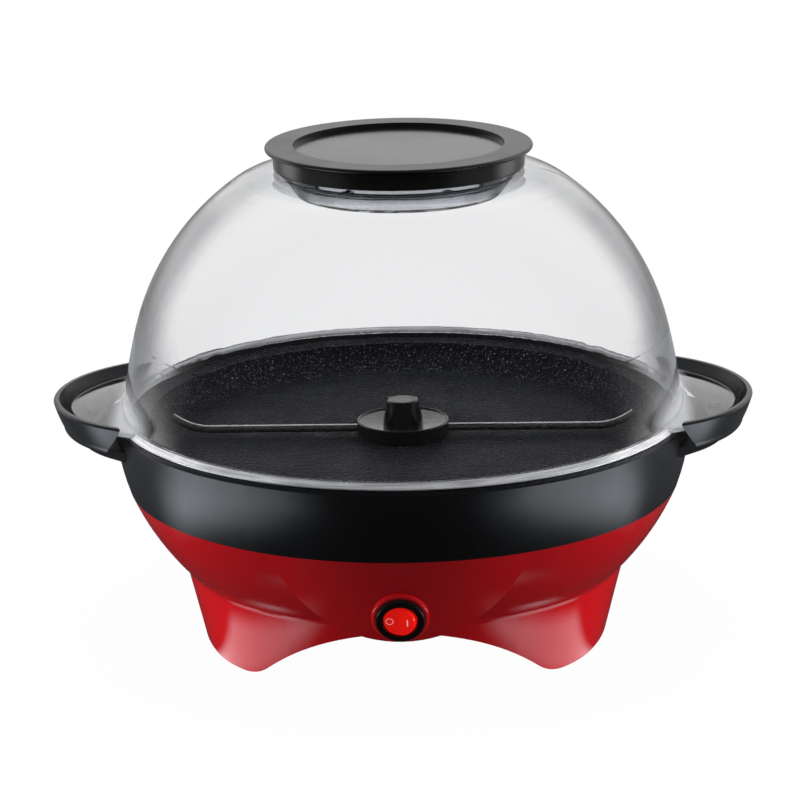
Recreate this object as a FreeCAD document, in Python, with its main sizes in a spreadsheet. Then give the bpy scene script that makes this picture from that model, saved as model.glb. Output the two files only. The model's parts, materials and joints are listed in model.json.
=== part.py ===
import FreeCAD, Part
import math
import os
import re
import Sketcher

# Popcorn maker with a red moulded base, a dark rim with two tray handles,
# a stirred pan and a clear dome that lifts off.
# The origin is on the table under the middle of the base, +Z is up and -Y is the front.

# Driving dimensions, in millimetres and degrees
SIZES = {
    # Clearances
    "seat_gap": 0.2,
    "running_gap": 0.08,
    "press_gap": 0.05,
    # Red base housing
    "wall": 2.6,
    "seam_radius": 139.5,
    "seam_height": 78.0,
    "bowl_curve": 130.0,
    "bowl_foot_radius": 114.3,
    "bowl_foot_height": 39.0,
    "waist_round": 6.0,
    "skirt_radius": 111.8,
    "skirt_height": 34.6,
    "skirt_foot_radius": 103.3,
    "skirt_corner_radius": 70.0,
    "skirt_corner_place": 27.8,
    "leg_clearance": 0.8,
    "arch_height": 32.2,
    "arch_radius": 97.0,
    "foot_round": 18.0,
    "console_radius": 66.0,
    "console_centre": 100.0,
    "console_tilt": 16.0,
    # Rubber feet
    "pad_radius": 5.5,
    "pad_height": 3.6,
    "pad_place": 99.5,
    "pad_angle": 30.0,
    "foot_boss_radius": 8.0,
    "foot_boss_height": 18.0,
    # Bottom cover
    "cover_gap": 1.0,
    "cover_thickness": 2.0,
    "cover_seat_width": 3.6,
    "cover_screw_place": 103.0,
    "cover_boss_radius": 6.0,
    "cover_boss_height": 10.0,
    "vent_width": 4.0,
    "vent_length": 44.0,
    "vent_pitch": 9.0,
    "vent_count": 9,
    "vent_place": 55.0,
    # Screws
    "screw_radius": 1.5,
    "screw_head_radius": 3.0,
    "screw_head_top": 2.1,
    "screw_head_height": 2.0,
    "screw_slot_length": 3.4,
    "screw_slot_width": 0.8,
    "screw_slot_depth": 1.0,
    "cover_screw_length": 8.0,
    "shield_screw_length": 3.2,
    "motor_screw_length": 4.0,
    "bracket_screw_length": 13.0,
    "handle_screw_length": 6.5,
    # Dark upper ring
    "ring_flare": 6.0,
    "ring_height": 36.7,
    "ring_curve": 108.0,
    "ring_wall": 6.2,
    "lip_wall": 2.9,
    "lip_round": 2.2,
    "ledge_width": 15.0,
    "ledge_drop": 4.2,
    "ledge_thickness": 3.0,
    "spigot_depth": 4.0,
    "spigot_inset": 4.8,
    "spigot_wall": 2.2,
    # Pan
    "pan_wall": 2.0,
    "pan_depth": 13.4,
    "pan_play": 0.6,
    "collar_radius": 7.0,
    "collar_bore": 5.0,
    "collar_height": 2.8,
    # Heating under the pan
    "element_radius": 74.0,
    "element_tube": 3.8,
    "element_sweep": 320.0,
    "element_leg": 22.0,
    "clip_width": 9.0,
    "clip_sheet": 1.2,
    "thermostat_radius": 8.0,
    "thermostat_height": 9.0,
    "thermostat_cap": 3.0,
    "thermostat_body_radius": 6.4,
    "thermostat_tab": 4.5,
    "thermostat_tab_half": 3.6,
    "thermostat_place": 36.0,
    "fuse_radius": 2.2,
    "fuse_length": 13.0,
    "fuse_lead": 0.6,
    "fuse_place": 46.0,
    "shield_sheet": 0.8,
    "shield_drop": 14.2,
    "shield_hole": 13.0,
    "shield_corner": 12.0,
    "shield_rim": 7.0,
    # Gear motor and drive
    "motor_radius": 25.0,
    "motor_height": 20.0,
    "motor_ear": 31.0,
    "motor_ear_radius": 5.5,
    "motor_plate": 1.2,
    "motor_boss_radius": 7.0,
    "motor_boss_height": 2.4,
    "output_radius": 3.5,
    "output_flat": 2.6,
    "output_length": 11.0,
    "shaft_radius": 3.0,
    "shaft_flat": 2.1,
    "shaft_reach": 7.5,
    "coupling_radius": 8.0,
    "coupling_length": 9.6,
    "coupling_web": 0.6,
    "bush_flange_radius": 8.0,
    "bush_flange": 1.4,
    # Stirrer
    "hub_radius": 23.5,
    "hub_gap": 1.4,
    "hub_height": 6.6,
    "hub_plate": 2.0,
    "hub_rim": 1.6,
    "hub_dish_radius": 12.0,
    "wire_radius": 2.0,
    "wire_start": 9.5,
    "wire_run": 98.0,
    "wire_tip": 117.5,
    "wire_tip_rise": 7.0,
    "knob_radius": 10.3,
    "knob_top_radius": 8.0,
    "knob_height": 12.0,
    "knob_round": 1.2,
    "knob_flute": 3.4,
    "knob_flute_depth": 1.3,
    "knob_flutes": 6,
    # Rocker switch
    "switch_height": 48.1,
    "switch_collar_radius": 13.8,
    "switch_collar_height": 2.2,
    "switch_collar_round": 1.6,
    "switch_body_radius": 10.0,
    "switch_depth": 17.0,
    "bezel_radius": 11.6,
    "bezel_height": 2.2,
    "bezel_round": 1.0,
    "bezel_opening": 8.5,
    "rocker_well": 6.5,
    "rocker_radius": 8.2,
    "rocker_rise": 3.0,
    "rocker_dip": 1.2,
    "rocker_tilt": 10.0,
    "pivot_radius": 1.2,
    "pivot_reach": 9.3,
    "pivot_depth": 1.0,
    "terminal_width": 4.8,
    "terminal_sheet": 0.8,
    "terminal_length": 8.0,
    "terminal_pitch": 8.0,
    "terminal_hole_rise": 2.4,
    # Cord gland and terminal block
    "gland_place": 72.0,
    "gland_bore": 3.6,
    "gland_body": 6.0,
    "gland_flange": 8.5,
    "gland_flange_height": 2.0,
    "gland_lip": 0.9,
    "gland_tail": 5.0,
    "block_place": 38.0,
    "block_width": 34.0,
    "block_depth": 17.0,
    "block_height": 14.0,
    "block_pitch": 10.0,
    "block_bore_rise": 5.6,
    "block_wire_bore": 2.0,
    "block_screw_bore": 2.4,
    # Tray handles
    "handle_inset": 40.5,
    "handle_radius": 71.7,
    "handle_rise": 7.3,
    "handle_height": 17.0,
    "handle_taper": 4.5,
    "handle_curve": 70.0,
    "handle_wall": 2.8,
    "handle_floor": 2.5,
    "handle_round": 4.0,
    "handle_lip": 1.2,
    "handle_gap": 5.5,
    "handle_slant": 4.0,
    "handle_boss_radius": 3.4,
    "handle_boss_height": 5.0,
    "handle_screw_place": 53.5,
    "handle_screw_half": 12.0,
    "bracket_radius": 58.0,
    "bracket_edge": 4.5,
    "bracket_neck": 36.0,
    "bracket_depth": 15.0,
    "bracket_screw_half": 18.0,
    "bracket_screw_drop": 7.5,
    # Clear dome
    "dome_wall": 2.2,
    "dome_play": 0.5,
    "dome_lean": 8.1,
    "dome_joint_rise": 44.1,
    "dome_lower_curve": 369.5,
    "dome_upper_curve": 127.5,
    "shoulder_radius": 84.0,
    "shoulder_rise": 117.3,
    "shoulder_slope": 35.3,
    "shoulder_curve": 36.5,
    "shoulder_height": 6.6,
    "flange_reach": 0.7,
    "flange_height": 3.2,
    "neck_radius": 59.9,
    "neck_height": 6.4,
    # Butter cup in the dome's neck
    "cup_wall": 2.0,
    "cup_flange": 1.6,
    "cup_play": 0.2,
    "cup_foot_radius": 50.0,
    "cup_depth": 19.6,
    "drip_radius": 3.6,
    "drip_place": 40.0,
    "drip_count": 14,
    "drip_inner_place": 21.0,
    "drip_inner_count": 7,
    # Wings of the dome over the tray handles
    "ear_margin": 8.2,
    "ear_gap": 0.6,
    "ear_wall": 2.4,
    "ear_crown": 2.4,
    "ear_curve": 220.0,
    # Cap over the butter well
    "cap_play": 0.4,
    "cap_wall": 2.2,
    "cap_radius": 66.5,
    "cap_skirt": 6.2,
    "cap_rim": 2.4,
    "cap_recess_radius": 52.5,
    "cap_round": 1.2,
}

# Heights and radii that follow from the driving dimensions
RIM_RADIUS = "(seam_radius + ring_flare)"
RIM_HEIGHT = "(seam_height + ring_height)"
RING_INNER = f"({RIM_RADIUS} - ring_wall)"
LIP_RADIUS = f"({RIM_RADIUS} - lip_wall)"
LEDGE_RADIUS = f"({RIM_RADIUS} - ledge_width)"
LEDGE_HEIGHT = f"({RIM_HEIGHT} - ledge_drop)"
LEDGE_UNDER = f"({LEDGE_HEIGHT} - ledge_thickness)"
SPIGOT_RADIUS = "(seam_radius - spigot_inset)"
SPIGOT_FOOT = "(seam_height - spigot_depth)"
COVER_LOW = "arch_height"
COVER_TOP = "(arch_height + cover_thickness)"
PAN_RIM_TOP = f"({LEDGE_HEIGHT} + pan_wall)"
PAN_FLOOR = f"({PAN_RIM_TOP} - pan_depth)"
PAN_UNDER = f"({PAN_FLOOR} - pan_wall)"
PAN_SIDE = f"({LEDGE_RADIUS} - pan_play)"
SHIELD_FLOOR = f"({PAN_UNDER} - shield_drop)"
SHIELD_UNDER = f"({SHIELD_FLOOR} - shield_sheet)"
SHIELD_EDGE = f"({LEDGE_RADIUS} + pan_play)"
COUPLING_LOW = f"({SHIELD_UNDER} + motor_boss_height + seat_gap)"
COUPLING_TOP = f"({COUPLING_LOW} + coupling_length)"
OUTPUT_TOP = f"({COUPLING_LOW} + coupling_length / 2 - coupling_web / 2)"
SHAFT_LOW = f"({OUTPUT_TOP} + coupling_web)"
HUB_FOOT = f"({PAN_FLOOR} + hub_gap)"
HUB_CEILING = f"({PAN_FLOOR} + collar_height + hub_gap)"
HUB_DISH = f"({HUB_CEILING} + hub_plate)"
SHAFT_TOP = f"({HUB_DISH} + shaft_reach)"
KNOB_FOOT = f"({HUB_DISH} + seat_gap)"
KNOB_TOP = f"({KNOB_FOOT} + knob_height)"
HANDLE_CENTRE = f"({RIM_RADIUS} - handle_inset)"
HANDLE_TOP = f"({RIM_HEIGHT} + handle_rise)"
HANDLE_FOOT = f"({HANDLE_TOP} - handle_height)"
HANDLE_KEEP_OUT = f"({RIM_RADIUS} + handle_gap)"
DOME_FOOT = f"({PAN_RIM_TOP} + seat_gap)"
DOME_RADIUS = f"({LIP_RADIUS} - dome_play)"
SHOULDER = f"({DOME_FOOT} + shoulder_rise)"
NECK_FOOT = f"({SHOULDER} + shoulder_height)"
NECK_TOP = f"({NECK_FOOT} + neck_height)"
CUP_SEAT = f"({NECK_TOP} + press_gap)"
CUP_TOP = f"({CUP_SEAT} + cup_flange)"
CUP_UNDER = f"({CUP_TOP} - cup_depth)"
CUP_FLOOR = f"({CUP_UNDER} + cup_wall)"
EAR_LOW = f"({RIM_HEIGHT} + ear_gap)"
EAR_RADIUS = "(handle_radius - ear_margin)"
CAP_UNDER = f"({CUP_TOP} + seat_gap)"
CAP_FLOOR = f"({CAP_UNDER} + cap_wall)"
CAP_TOP = f"({CAP_FLOOR} + cap_rim)"
CAP_INNER = "(neck_radius + cap_play)"
CONSOLE_AT_SWITCH = "(seam_radius - (seam_height - switch_height) * tan(console_tilt))"

# The switch's own frame: x to the right, y up the console and z out of it, on the collar's top
SWITCH_SEAT = (
    "0",
    f"-({CONSOLE_AT_SWITCH} + switch_collar_height * cos(console_tilt))",
    "(switch_height - switch_collar_height * sin(console_tilt))",
)
SWITCH_TURN = ("1; 0; 0", "90 + console_tilt")
TERMINAL_LOW = "(-switch_depth - terminal_length)"

SIDES = {"right": "1", "left": "-1"}
ORIGIN = ("0", "0", "0")
ALONG_X = ("0; 1; 0", "90")
AGAINST_X = ("0; 1; 0", "-90")
ALONG_Y = ("1; 0; 0", "-90")
AGAINST_Y = ("1; 0; 0", "90")

doc = FreeCAD.newDocument("popcorn_maker")
sheet = doc.addObject("Spreadsheet::Sheet", "Sizes")
for row, (alias, number) in enumerate(SIZES.items(), start=1):
    sheet.set(f"A{row}", alias)
    sheet.set(f"B{row}", str(number))
    sheet.setAlias(f"B{row}", alias)
doc.recompute()

nodes = []


# Expressions

def bound(text):
    """The expression with each size's name pointing at its cell."""
    return re.sub(r"[a-z_]+", lambda word: ("Sizes." if word[0] in SIZES else "") + word[0], text)


def value(text):
    """The number that an expression of the sizes gives now."""
    return float(sheet.evalExpression(text))


def place(thing, at, turn=None):
    """Bind a thing's place, and its turn about an axis, to the sizes."""
    axis, angle = turn or ("0; 0; 1", "0")
    where = "; ".join(at)
    turned = f"rotation(vector({axis}); {angle})"
    thing.setExpression("Placement", bound(f"placement(vector({where}); {turned})"))
    return thing


def node(thing, label):
    """Name a finished sub-part, which is then written to a file of that name."""
    thing.Label = label
    nodes.append(thing)
    return thing


# Sketches and the features made from them

def origin_feature(body, role):
    return next(feature for feature in body.Origin.OriginFeatures if feature.Role == role)


def arc_between(here, there, turn, radius):
    """The shorter arc from here to there that turns left or right."""
    chord = there - here
    rise = math.sqrt(radius ** 2 - chord.Length ** 2 / 4)
    side = 1 if turn == "left" else -1
    across = FreeCAD.Vector(-chord.y, chord.x).normalize()
    centre = (here + there) / 2 + across * rise * side
    first, last = (here, there) if turn == "left" else (there, here)
    low = math.atan2(first.y - centre.y, first.x - centre.x)
    high = math.atan2(last.y - centre.y, last.x - centre.x)
    circle = Part.Circle(centre, FreeCAD.Vector(0, 0, 1), radius)
    return Part.ArcOfCircle(circle, low, high if high > low else high + 2 * math.pi)


def new_sketch(body, name, plane, lift):
    sketch = body.newObject("Sketcher::SketchObject", name)
    sketch.AttachmentSupport = (origin_feature(body, plane), [""])
    sketch.MapMode = "FlatFace"
    sketch.setExpression("AttachmentOffset.Base.z", bound(lift))
    return sketch


def pin_point(sketch, geometry, vertex, x, y):
    """Hold a point of a sketch at distances bound to the sizes."""
    for kind, text in (("DistanceX", x), ("DistanceY", y)):
        index = sketch.addConstraint(Sketcher.Constraint(kind, -1, 1, geometry, vertex, value(text)))
        sketch.setExpression(f"Constraints[{index}]", bound(text))


def outline(body, name, points, plane="XZ_Plane", lift="0", closed=True):
    """A sketch through the points. A point's third item makes the edge after it an arc: (turn, radius)."""
    sketch = new_sketch(body, name, plane, lift)
    corners = [FreeCAD.Vector(value(point[0]), value(point[1])) for point in points]
    edge_count = len(points) if closed else len(points) - 1
    ends = []
    for index in range(edge_count):
        here = corners[index]
        there = corners[(index + 1) % len(points)]
        if len(points[index]) == 2:
            edge = sketch.addGeometry(Part.LineSegment(here, there))
            ends.append((edge, 1, 2))
            continue
        turn, radius = points[index][2]
        edge = sketch.addGeometry(arc_between(here, there, turn, value(radius)))
        constraint = sketch.addConstraint(Sketcher.Constraint("Radius", edge, value(radius)))
        sketch.setExpression(f"Constraints[{constraint}]", bound(radius))
        ends.append((edge, 1, 2) if turn == "left" else (edge, 2, 1))
    for index in range(edge_count if closed else edge_count - 1):
        edge, _, end = ends[index]
        following, start, _ = ends[(index + 1) % edge_count]
        sketch.addConstraint(Sketcher.Constraint("Coincident", edge, end, following, start))
    for index in range(edge_count):
        edge, start, _ = ends[index]
        pin_point(sketch, edge, start, points[index][0], points[index][1])
    if not closed:
        edge, _, end = ends[-1]
        pin_point(sketch, edge, end, points[-1][0], points[-1][1])
    return sketch


def circle_sketch(body, name, radius, x="0", y="0", plane="XY_Plane", lift="0"):
    sketch = new_sketch(body, name, plane, lift)
    centre = FreeCAD.Vector(value(x), value(y))
    edge = sketch.addGeometry(Part.Circle(centre, FreeCAD.Vector(0, 0, 1), value(radius)))
    index = sketch.addConstraint(Sketcher.Constraint("Radius", edge, value(radius)))
    sketch.setExpression(f"Constraints[{index}]", bound(radius))
    pin_point(sketch, edge, 3, x, y)
    return sketch


def new_body(name):
    body = doc.addObject("PartDesign::Body", name)
    body.AllowCompound = True
    return body


def revolve(name, points):
    """A body turned about its own Z axis from a profile of (radius, height) points."""
    body = new_body(name)
    feature = body.newObject("PartDesign::Revolution", f"{name}_turned")
    feature.Profile = outline(body, f"{name}_profile", points)
    feature.ReferenceAxis = (feature.Profile[0], ["V_Axis"])
    feature.Angle = 360
    body.Tip = feature
    return body


def pad(body, name, sketch, length, both_ways=False):
    feature = body.newObject("PartDesign::Pad", name)
    feature.Profile = sketch
    feature.setExpression("Length", bound(length))
    feature.SideType = "Symmetric" if both_ways else "One side"
    body.Tip = feature
    return feature


def pocket_through(body, name, sketch):
    """Cut a sketch down through the whole body."""
    feature = body.newObject("PartDesign::Pocket", name)
    feature.Profile = sketch
    feature.Type = "ThroughAll"
    body.Tip = feature
    return feature


def polar_pattern(body, feature, count):
    pattern = body.newObject("PartDesign::PolarPattern", f"{feature.Name}_ring")
    pattern.Originals = [feature]
    pattern.Axis = (origin_feature(body, "Z_Axis"), [""])
    pattern.Angle = 360
    pattern.setExpression("Occurrences", bound(count))
    body.Tip = pattern
    return pattern


# Primitives and booleans

def cylinder(name, radius, height, at=ORIGIN, turn=None):
    thing = doc.addObject("Part::Cylinder", name)
    thing.setExpression("Radius", bound(radius))
    thing.setExpression("Height", bound(height))
    return place(thing, at, turn)


def cone(name, low_radius, top_radius, height, at=ORIGIN):
    thing = doc.addObject("Part::Cone", name)
    thing.setExpression("Radius1", bound(low_radius))
    thing.setExpression("Radius2", bound(top_radius))
    thing.setExpression("Height", bound(height))
    return place(thing, at)


def block(name, length, width, height, at=ORIGIN):
    """A box centred in x and y on the place given, standing on it."""
    thing = doc.addObject("Part::Box", name)
    thing.setExpression("Length", bound(length))
    thing.setExpression("Width", bound(width))
    thing.setExpression("Height", bound(height))
    x, y, z = at
    return place(thing, (f"{x} - ({length}) / 2", f"{y} - ({width}) / 2", z))


def combine(kind, name, shapes):
    thing = doc.addObject(kind, name)
    thing.Shapes = shapes
    return thing


def fuse(name, *shapes):
    return combine("Part::MultiFuse", name, list(shapes))


def common(name, *shapes):
    return combine("Part::MultiCommon", name, list(shapes))


def cut(name, base, *tools):
    thing = doc.addObject("Part::Cut", name)
    thing.Base = base
    thing.Tool = tools[0] if len(tools) == 1 else fuse(f"{name}_tools", *tools)
    return thing


def group(name, things):
    thing = doc.addObject("Part::Compound", name)
    thing.Links = things
    return thing


def polar(radius, angle):
    """The x and y of a point at an angle, as expressions."""
    return f"({radius}) * cos({angle})", f"({radius}) * sin({angle})"


def screw(name, length, at, turn=None):
    """A cross-slotted screw whose head is seated on the place given and whose shank points along its z."""
    form = revolve(f"{name}_form", [
        ("0", "-screw_head_height"),
        ("screw_head_top", "-screw_head_height"),
        ("screw_head_radius", "-screw_head_height / 2"),
        ("screw_head_radius", "0"),
        ("screw_radius", "0"),
        ("screw_radius", length),
        ("0", length),
    ])
    sides = ("screw_slot_length", "screw_slot_width")
    over = ("0", "0", "-screw_head_height - screw_slot_depth")
    slots = [
        block(f"{name}_slot_{index}", *order, "2 * screw_slot_depth", over)
        for index, order in enumerate((sides, sides[::-1]))
    ]
    return place(cut(name, form, *slots), at, turn)


def flatted(name, radius, flat, low, high):
    """A round bar with two flats, along z between two heights."""
    length = f"({high} - {low})"
    bar = cylinder(f"{name}_bar", radius, length, ("0", "0", low))
    flats = block(f"{name}_flats", f"2 * ({flat})", f"4 * ({radius})", length, ("0", "0", low))
    return common(name, bar, flats)


# Red base housing

def skirt_radius_at(height):
    """How far the tapered leg skirt reaches to each side at a height."""
    taper = "((skirt_radius - skirt_foot_radius) / (skirt_height - leg_clearance))"
    return f"(skirt_foot_radius + ({height} - leg_clearance) * {taper})"


def leg_skirt(name, inset, low, top, top_radius):
    """The leg skirt: a rounded square on the floor that becomes round at its top."""
    flank = "(skirt_foot_radius - skirt_corner_radius)"
    offset = f"(({flank} ^ 2 - 2 * skirt_corner_place ^ 2) / (2 * (skirt_corner_place - {flank})))"
    side_radius = f"(skirt_foot_radius + {offset} - {inset})"
    share = f"({side_radius} / ({flank} + {offset}))"
    far = f"({share} * (skirt_corner_place + {offset}) - {offset})"
    near = f"({share} * skirt_corner_place)"
    scale = f"({top_radius} / sqrt({far} ^ 2 + {near} ^ 2))"
    corner = ("left", f"skirt_corner_radius - {inset}")
    side = ("left", side_radius)
    rim = ("left", top_radius)
    half = ((far, near), (near, far), (f"-{near}", far), (f"-{far}", near))
    places = [*half, *[(f"-({x})", f"-({y})") for x, y in half]]
    foot = [(x, y, side if index % 2 else corner) for index, (x, y) in enumerate(places)]
    round_top = [(f"{x} * {scale}", f"{y} * {scale}", rim) for x, y in places]
    body = new_body(name)
    feature = body.newObject("PartDesign::AdditiveLoft", f"{name}_loft")
    feature.Profile = outline(body, f"{name}_foot", foot, "XY_Plane", low)
    feature.Sections = [outline(body, f"{name}_top", round_top, "XY_Plane", top)]
    feature.Ruled = True
    body.Tip = feature
    return body


def arch():
    """The cutter under the arch between the two legs, from front to back."""
    centre_z = "(arch_height - arch_radius)"
    drop = f"(leg_clearance + foot_round - {centre_z})"
    foot_x = f"sqrt((arch_radius + foot_round) ^ 2 - {drop} ^ 2)"
    share = "(arch_radius / (arch_radius + foot_round))"
    spring_x = f"({foot_x} * {share})"
    spring_z = f"({centre_z} + {drop} * {share})"
    below = "-arch_height"
    body = new_body("arch")
    sketch = outline(body, "arch_outline", [
        (f"-{foot_x}", below),
        (f"-{foot_x}", "leg_clearance", ("left", "foot_round")),
        (f"-{spring_x}", spring_z, ("right", "arch_radius")),
        (spring_x, spring_z, ("left", "foot_round")),
        (foot_x, "leg_clearance"),
        (foot_x, below),
    ])
    pad(body, "arch_through", sketch, "3 * skirt_radius", both_ways=True)
    return body


def console(name, inset, top):
    """The switch console: a cone flush with the seam, seen as a round shield from the front."""
    face_radius = f"(seam_radius - {inset} / cos(console_tilt))"
    low = "(console_centre - console_radius - wall)"
    reach = f"({top} - {low})"
    shield = cylinder(
        f"{name}_shield", f"console_radius - {inset}", "2 * seam_radius",
        ("0", "0", "console_centre"), AGAINST_Y,
    )
    face = cone(
        f"{name}_face",
        f"{face_radius} - (seam_height - {low}) * tan(console_tilt)",
        f"{face_radius} + ({top} - seam_height) * tan(console_tilt)",
        reach,
        ("0", "0", low),
    )
    return common(name, shield, face)


def base_housing():
    bowl = revolve("bowl", [
        ("0", "skirt_height"),
        ("skirt_radius", "skirt_height", ("right", "waist_round")),
        ("bowl_foot_radius", "bowl_foot_height", ("left", "bowl_curve")),
        ("seam_radius", "seam_height"),
        ("0", "seam_height"),
    ])
    skirt = leg_skirt("leg_skirt", "0", "leg_clearance", "skirt_height", "skirt_radius")
    form = fuse("base_form", bowl, skirt)
    rebate = f"({SPIGOT_RADIUS} + seat_gap)"
    skirt_inside = f"({skirt_radius_at(COVER_TOP)} - wall)"
    seat_radius = f"({skirt_inside} - cover_seat_width)"
    bowl_hollow = revolve("bowl_hollow", [
        ("0", COVER_TOP),
        (seat_radius, COVER_TOP),
        (seat_radius, f"{COVER_TOP} + wall", ("left", "bowl_curve - wall")),
        (rebate, f"{SPIGOT_FOOT} - seat_gap"),
        (rebate, "seam_height + wall"),
        ("0", "seam_height + wall"),
    ])
    skirt_hollow = leg_skirt("skirt_hollow", "wall", "0", COVER_TOP, skirt_inside)
    console_hollow = console("console_hollow", "wall", "(seam_height + wall)")
    solid = fuse("base_solid", form, console("console", "0", "seam_height"))
    shell = cut("base_shell", solid, bowl_hollow, skirt_hollow, console_hollow, arch())

    collar = place(revolve("switch_collar", [
        ("0", "-switch_collar_height - wall"),
        ("switch_collar_radius", "-switch_collar_height - wall"),
        ("switch_collar_radius", "-switch_collar_round", ("left", "switch_collar_round")),
        ("switch_collar_radius - switch_collar_round", "0"),
        ("0", "0"),
    ]), SWITCH_SEAT, SWITCH_TURN)
    bosses = []
    holes = []
    for index, (x, y) in enumerate(cover_screw_places()):
        bosses.append(cylinder(
            f"cover_boss_{index}", "cover_boss_radius", "cover_boss_height", (x, y, COVER_TOP)
        ))
        holes.append(cylinder(
            f"cover_pilot_{index}", "screw_radius + press_gap", "cover_screw_length + seat_gap",
            (x, y, COVER_LOW),
        ))
    for index, (x, y) in enumerate(pad_places()):
        bosses.append(cylinder(
            f"foot_boss_{index}", "foot_boss_radius", "foot_boss_height", (x, y, "leg_clearance")
        ))
        holes.append(cylinder(
            f"pad_recess_{index}", "pad_radius + press_gap", "pad_height + press_gap", (x, y, "0")
        ))
    inner_bosses = common("inner_bosses", form, fuse("boss_set", *bosses))
    switch_bore = cylinder(
        "switch_bore", "switch_body_radius + seat_gap", "2 * switch_depth",
        SWITCH_SEAT, ("1; 0; 0", "270 + console_tilt"),
    )
    return cut("base_cut", fuse("base_with_bosses", shell, collar, inner_bosses), switch_bore, *holes)


def cover_screw_places():
    return [polar("cover_screw_place", str(45 + 90 * quarter)) for quarter in range(4)]


def pad_places():
    angles = ("pad_angle", "180 - pad_angle", "180 + pad_angle", "-pad_angle")
    return [polar("pad_place", angle) for angle in angles]


def rubber_feet():
    return group("pads", [
        cylinder(f"pad_{index}", "pad_radius", "pad_height", (x, y, "0"))
        for index, (x, y) in enumerate(pad_places())
    ])


# Bottom cover with vents, gland and terminal block

def bottom_cover():
    body = new_body("cover")
    cover_radius = f"{skirt_radius_at(COVER_LOW)} - wall - cover_gap"
    edge = circle_sketch(body, "cover_edge", cover_radius, lift=COVER_LOW)
    pad(body, "cover_plate", edge, "cover_thickness")
    half = "vent_width / 2"
    first = "-(vent_count - 1) * vent_pitch / 2"
    near = "-(vent_place + vent_length / 2)"
    far = "-(vent_place - vent_length / 2)"
    bend = ("left", half)
    slot = outline(body, "vent_slot", [
        (f"{first} + {half}", near),
        (f"{first} + {half}", far, bend),
        (first, f"{far} + {half}", bend),
        (f"{first} - {half}", far),
        (f"{first} - {half}", near, bend),
        (first, f"{near} - {half}", bend),
    ], "XY_Plane", COVER_TOP)
    vent = pocket_through(body, "vent", slot)
    row = body.newObject("PartDesign::LinearPattern", "vent_row")
    row.Originals = [vent]
    row.Direction = (origin_feature(body, "X_Axis"), [""])
    row.setExpression("Length", bound("(vent_count - 1) * vent_pitch"))
    row.setExpression("Occurrences", bound("vent_count"))
    body.Tip = row
    x, y = cover_screw_places()[0]
    hole = circle_sketch(body, "cover_hole", "screw_radius + press_gap", x, y, lift=COVER_TOP)
    polar_pattern(body, pocket_through(body, "cover_hole_cut", hole), "4")
    seat = circle_sketch(body, "gland_seat", "gland_body + press_gap", "0", "gland_place", lift=COVER_TOP)
    pocket_through(body, "gland_seat_cut", seat)
    return body


def cover_screws():
    return group("cover_screw_set", [
        screw(f"cover_screw_{index}", "cover_screw_length", (x, y, COVER_LOW))
        for index, (x, y) in enumerate(cover_screw_places())
    ])


def cord_gland():
    lip = "(gland_body + gland_lip)"
    above = f"({COVER_TOP} + seat_gap)"
    bush = revolve("gland", [
        ("gland_bore", f"{COVER_LOW} - gland_flange_height"),
        ("gland_flange", f"{COVER_LOW} - gland_flange_height"),
        ("gland_flange", COVER_LOW),
        ("gland_body", COVER_LOW),
        ("gland_body", above),
        (lip, above),
        ("gland_body", f"{COVER_TOP} + gland_tail"),
        ("gland_bore", f"{COVER_TOP} + gland_tail"),
    ])
    return place(bush, ("0", "gland_place", "0"))


def terminal_block():
    centre = ("0", "block_place", COVER_TOP)
    body = block("block_body", "block_width", "block_depth", "block_height", centre)
    bores = []
    for pole in (-1, 0, 1):
        x = f"{pole} * block_pitch"
        start = "block_place - block_depth"
        bores.append(cylinder(
            f"block_wire_{pole + 1}", "block_wire_bore", "2 * block_depth",
            (x, start, f"{COVER_TOP} + block_bore_rise"), ALONG_Y,
        ))
        bores.append(cylinder(
            f"block_screw_{pole + 1}", "block_screw_bore", "block_height",
            (x, "block_place", f"{COVER_TOP} + block_bore_rise"),
        ))
    return cut("block_bored", body, *bores)


# Dark upper ring

def upper_ring():
    spigot_inner = f"({SPIGOT_RADIUS} - spigot_wall)"
    ring = revolve("ring", [
        ("seam_radius", "seam_height", ("left", "ring_curve")),
        (RIM_RADIUS, f"{RIM_HEIGHT} - lip_round", ("left", "lip_round")),
        (f"{RIM_RADIUS} - lip_round", RIM_HEIGHT),
        (LIP_RADIUS, RIM_HEIGHT),
        (LIP_RADIUS, LEDGE_HEIGHT),
        (LEDGE_RADIUS, LEDGE_HEIGHT),
        (LEDGE_RADIUS, LEDGE_UNDER),
        (RING_INNER, LEDGE_UNDER),
        (RING_INNER, "seam_height + ring_height / 4"),
        (spigot_inner, "seam_height + spigot_wall"),
        (spigot_inner, SPIGOT_FOOT),
        (SPIGOT_RADIUS, SPIGOT_FOOT),
        (SPIGOT_RADIUS, "seam_height"),
    ])
    holes = [
        screw_hole(f"ring_hole_{index}", at, turn)
        for index, (at, turn) in enumerate(bracket_screw_places())
    ]
    holes += [
        cylinder(f"ring_pilot_{index}", "screw_radius + press_gap", "shield_screw_length + press_gap", at)
        for index, at in enumerate(shield_screw_places())
    ]
    return cut("ring_bored", ring, *holes)


# Pan, heating element and heat shield

def pan():
    """The pan, whose side is a quarter round as tall as the pan is deep."""
    inner_side = f"({PAN_SIDE} - pan_wall)"
    return revolve("pan_form", [
        ("collar_bore", PAN_UNDER),
        (f"{PAN_SIDE} - pan_depth", PAN_UNDER, ("left", "pan_depth")),
        (PAN_SIDE, LEDGE_HEIGHT),
        (f"{LIP_RADIUS} - pan_play", LEDGE_HEIGHT),
        (f"{LIP_RADIUS} - pan_play", PAN_RIM_TOP),
        (inner_side, PAN_RIM_TOP, ("right", "pan_depth")),
        (f"{inner_side} - pan_depth", PAN_FLOOR),
        ("collar_radius", PAN_FLOOR),
        ("collar_radius", f"{PAN_FLOOR} + collar_height"),
        ("collar_bore", f"{PAN_FLOOR} + collar_height"),
    ])


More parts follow.
